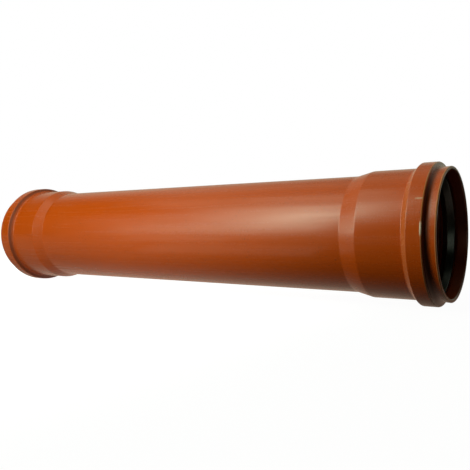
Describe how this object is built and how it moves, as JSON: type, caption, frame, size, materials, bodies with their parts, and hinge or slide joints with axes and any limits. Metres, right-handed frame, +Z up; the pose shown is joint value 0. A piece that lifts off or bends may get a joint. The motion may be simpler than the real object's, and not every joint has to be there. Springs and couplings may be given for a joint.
{
  "type": "double socket drain pipe",
  "caption": "Orange-brown plastic sewer pipe with a push-fit socket formed on both ends, each with a seal bead, flared lip and black rubber lip ring.",
  "frame": {"origin": "on the floor, under the middle of the pipe, which lies on its two beads", "axes": "+X along the pipe's axis towards the right mouth, +Z up, +Y away from the viewer"},
  "size_m": [0.576, 0.1276, 0.1275],
  "materials": {
    "pipe_plastic": "satin extruded plastic, orange-brown",
    "seal_rubber": "matte black rubber"
  },
  "bodies": {
    "root": {"pipe": "pipe_plastic", "seal_ring_left": "seal_rubber", "seal_ring_right": "seal_rubber"}
  },
  "joints": []
}
